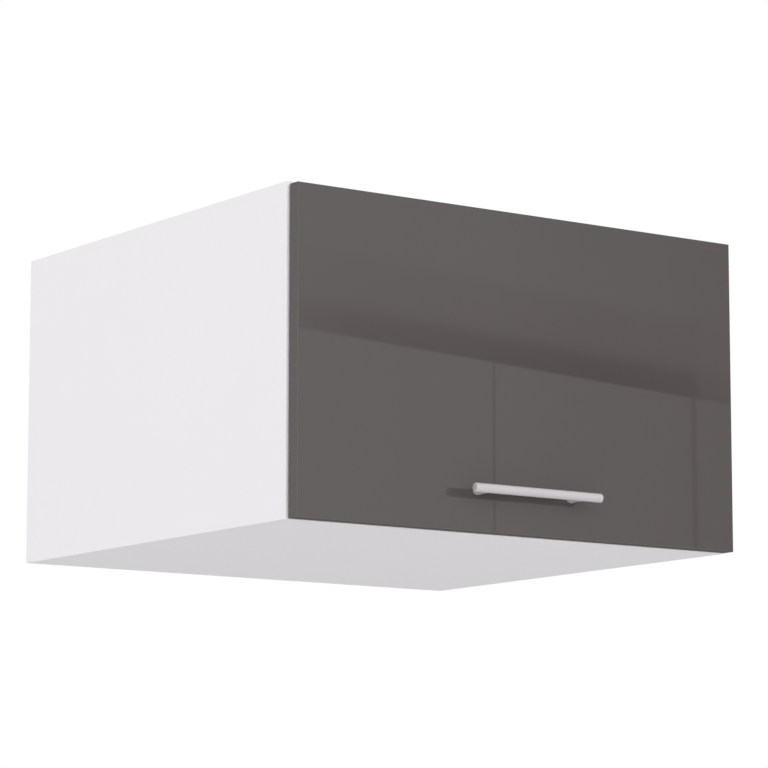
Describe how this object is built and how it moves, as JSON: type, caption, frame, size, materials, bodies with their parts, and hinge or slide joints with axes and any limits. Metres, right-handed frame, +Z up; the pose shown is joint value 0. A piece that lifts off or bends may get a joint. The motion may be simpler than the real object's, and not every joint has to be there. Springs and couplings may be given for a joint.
{
  "type": "wall cabinet",
  "caption": "Deep, low wall cabinet for above a fridge: white carcass, gloss grey lift-up front on parallel arms, bar handle near the lower edge.",
  "frame": {"origin": "middle of the lower rear edge, in the plane that meets the wall", "axes": "+X to the right seen from the front, +Y into the wall so the front faces -Y, +Z up"},
  "size_m": [0.6, 0.6, 0.36],
  "materials": {
    "white_board": "white melamine-faced chipboard, satin",
    "white_band": "white edge band, satin",
    "back_board": "white thin fibreboard",
    "front_board": "grey acrylic-faced board, high gloss",
    "front_band": "grey edge band, gloss",
    "beech": "fluted beech",
    "zinc_steel": "bright zinc plated",
    "cast_zinc": "cast zinc",
    "spring_steel": "oiled spring steel",
    "handle_metal": "satin anodised",
    "rod_metal": "satin anodised",
    "light_plastic": "moulded light grey, fine texture",
    "white_plastic": "moulded white, satin",
    "black_plastic": "moulded black, matt",
    "clear_rubber": "clear soft dot"
  },
  "bodies": {
    "carcass": {"side_panel_left": "white_board", "side_panel_right": "white_board", "top_panel": "white_board", "bottom_panel": "white_board", "back_panel": "back_board", "front_edge_bands": "white_band", "wooden_dowels": "beech", "cam_bolts": "zinc_steel", "cam_housings": "cast_zinc", "cam_cover_caps": "white_plastic", "hanger_screws": "zinc_steel", "hanger_body_left": "white_plastic", "hanger_body_right": "white_plastic", "hanger_hook_left": "zinc_steel", "hanger_hook_right": "zinc_steel", "hanger_cover_left": "white_plastic", "hanger_cover_right": "white_plastic", "lift_base_left": "zinc_steel", "lift_base_right": "zinc_steel", "lift_cover_left": "light_plastic", "lift_cover_right": "light_plastic", "lift_base_screws": "zinc_steel", "lift_spring_left": "spring_steel", "lift_spring_right": "spring_steel", "spring_rods": "zinc_steel", "guide_arm_pins": "zinc_steel"},
    "lift_arms": {"main_arm_left": "zinc_steel", "main_arm_right": "zinc_steel", "main_arm_bushes": "black_plastic", "arm_axle_left": "zinc_steel", "arm_axle_right": "zinc_steel", "cam_disc_left": "cast_zinc", "cam_disc_right": "cast_zinc", "stabiliser_rod": "rod_metal"},
    "guide_lever_left": {"guide_arm_left": "zinc_steel", "guide_arm_bushes_left": "black_plastic"},
    "guide_lever_right": {"guide_arm_right": "zinc_steel", "guide_arm_bushes_right": "black_plastic"},
    "spring_slide_left": {"spring_yoke_left": "cast_zinc"},
    "spring_slide_right": {"spring_yoke_right": "cast_zinc"},
    "front": {"door_panel": "front_board", "door_edge_bands": "front_band", "handle": "handle_metal", "handle_screws": "zinc_steel", "door_bracket_left": "zinc_steel", "door_bracket_right": "zinc_steel", "bracket_screws": "zinc_steel", "bracket_pins_left": "zinc_steel", "bracket_pins_right": "zinc_steel", "door_bumpers": "clear_rubber"}
  },
  "joints": [
    {"name": "lift", "type": "hinge", "parent": "carcass", "child": "lift_arms", "pos_m": [0, -0.41391, 0.29], "axis": [-1, 0, 0], "range_deg": [0, 100]},
    {"name": "front_level", "type": "hinge", "parent": "lift_arms", "child": "front", "pos_m": [0, -0.534, 0.082], "axis": [-1, 0, 0], "range_deg": [-100, 0]},
    {"name": "guide_left", "type": "hinge", "parent": "carcass", "child": "guide_lever_left", "pos_m": [0, -0.40008, 0.25894], "axis": [-1, 0, 0], "range_deg": [0, 100]},
    {"name": "spring_left", "type": "slide", "parent": "carcass", "child": "spring_slide_left", "axis": [0, -1, 0], "range_m": [0, 0.012]},
    {"name": "guide_right", "type": "hinge", "parent": "carcass", "child": "guide_lever_right", "pos_m": [0, -0.40008, 0.25894], "axis": [-1, 0, 0], "range_deg": [0, 100]},
    {"name": "spring_right", "type": "slide", "parent": "carcass", "child": "spring_slide_right", "axis": [0, -1, 0], "range_m": [0, 0.012]}
  ],
  "couplings": [
    {"joint": "front_level", "follows": "lift", "ratio": -1},
    {"joint": "guide_left", "follows": "lift", "ratio": 1},
    {"joint": "spring_left", "follows": "lift", "m_per_rad": 0.0068755},
    {"joint": "guide_right", "follows": "lift", "ratio": 1},
    {"joint": "spring_right", "follows": "lift", "m_per_rad": 0.0068755}
  ]
}
